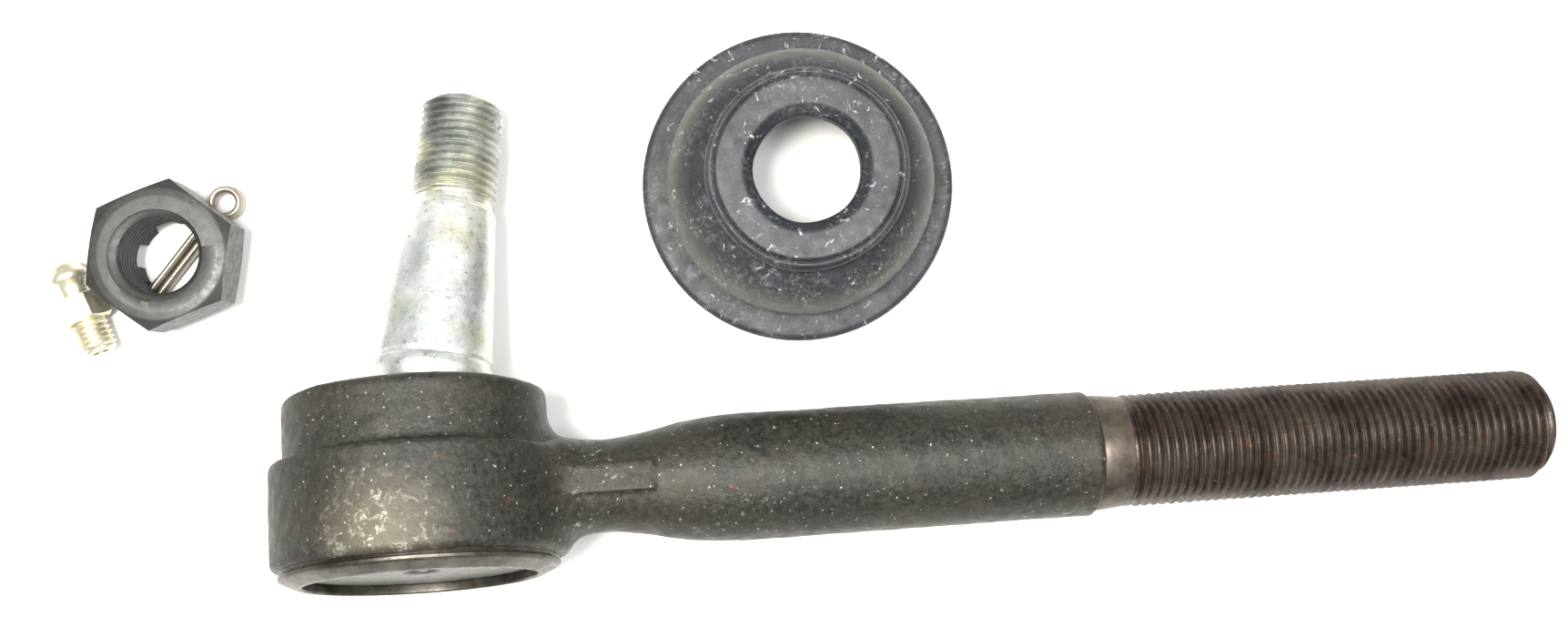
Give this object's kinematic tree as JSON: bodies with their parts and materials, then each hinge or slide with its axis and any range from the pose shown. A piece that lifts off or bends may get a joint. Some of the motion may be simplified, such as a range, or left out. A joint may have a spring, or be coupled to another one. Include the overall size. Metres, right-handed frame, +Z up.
{
  "type": "tie rod end",
  "caption": "Forged tie rod end with a swivelling tapered ball stud and long threaded shank, its dust boot, castle nut, cotter pin and grease fitting loose beside it.",
  "frame": {"origin": "centre of the ball inside the head, the point the stud swings about", "axes": "+X along the shank as seen from above, +Y towards the ball stud's tip, +Z up from the surface the part lies on"},
  "size_m": [0.2567, 0.0945, 0.0487],
  "materials": {
    "forging": "dark forged oxide skin, satin, with pale scuffs",
    "liner": "moulded bearing plastic",
    "hardened_steel": "ground and hardened",
    "zinc_steel": "bright zinc plate, speckled",
    "spring_steel": "bright spring steel",
    "cover_steel": "dull pressed steel",
    "rubber": "black rubber with dusty bloom",
    "black_oxide": "black oxide",
    "zinc_wire": "zinc-plated wire",
    "yellow_zinc": "yellow zinc plate"
  },
  "bodies": {
    "rod": {"forged_housing": "forging", "cover_plate": "cover_steel", "preload_spring": "spring_steel"},
    "liner": {"seat_liner": "liner"},
    "half_ball": {"half_ball_bearing": "hardened_steel"},
    "stud": {"ball_stud": "zinc_steel"},
    "cup": {"lower_bearing": "hardened_steel"},
    "boot": {"dust_boot": "rubber"},
    "nut": {"castle_nut": "black_oxide"},
    "split_pin": {"cotter_pin": "zinc_wire"},
    "fitting": {"grease_fitting": "yellow_zinc", "grease_check_spring": "spring_steel"},
    "check_ball": {"grease_check_ball": "spring_steel"}
  },
  "joints": [
    {"name": "swing_along_shank", "type": "hinge", "parent": "rod", "child": "liner", "pos_m": [0, 0, 0], "axis": [-0.0741, -0.193, -0.9784], "range_deg": [-23.28, 6.72]},
    {"name": "swing_across_shank", "type": "hinge", "parent": "liner", "child": "half_ball", "pos_m": [0, 0, 0], "axis": [0.9889, -0.1413, -0.047], "range_deg": [-12.02, 17.98]},
    {"name": "stud_spin", "type": "hinge", "parent": "half_ball", "child": "stud", "pos_m": [0, 0, 0], "axis": [0.1252, 0.9596, -0.2519], "continuous": true},
    {"name": "cup_travel", "type": "slide", "parent": "rod", "child": "cup", "axis": [0.0146, -0.9812, 0.1925], "range_m": [0, 0.0004], "stiffness_N_per_m": 3000, "springref_m": -0.001, "deforming": ["preload_spring"]},
    {"name": "boot_lift", "type": "slide", "parent": "rod", "child": "boot", "axis": [0, 0, 1], "range_m": [0, 0.06]},
    {"name": "nut_lift", "type": "slide", "parent": "rod", "child": "nut", "axis": [0, 0, 1], "range_m": [0, 0.06]},
    {"name": "pin_draw", "type": "slide", "parent": "rod", "child": "split_pin", "axis": [0.6428, 0.766, 0], "range_m": [0, 0.03]},
    {"name": "fitting_lift", "type": "slide", "parent": "rod", "child": "fitting", "axis": [0, 0, 1], "range_m": [0, 0.06]},
    {"name": "check_ball_travel", "type": "slide", "parent": "fitting", "child": "check_ball", "axis": [0.342, -0.9397, 0], "range_m": [0, 0.001], "stiffness_N_per_m": 150, "springref_m": -0.001, "deforming": ["grease_check_spring"]}
  ]
}
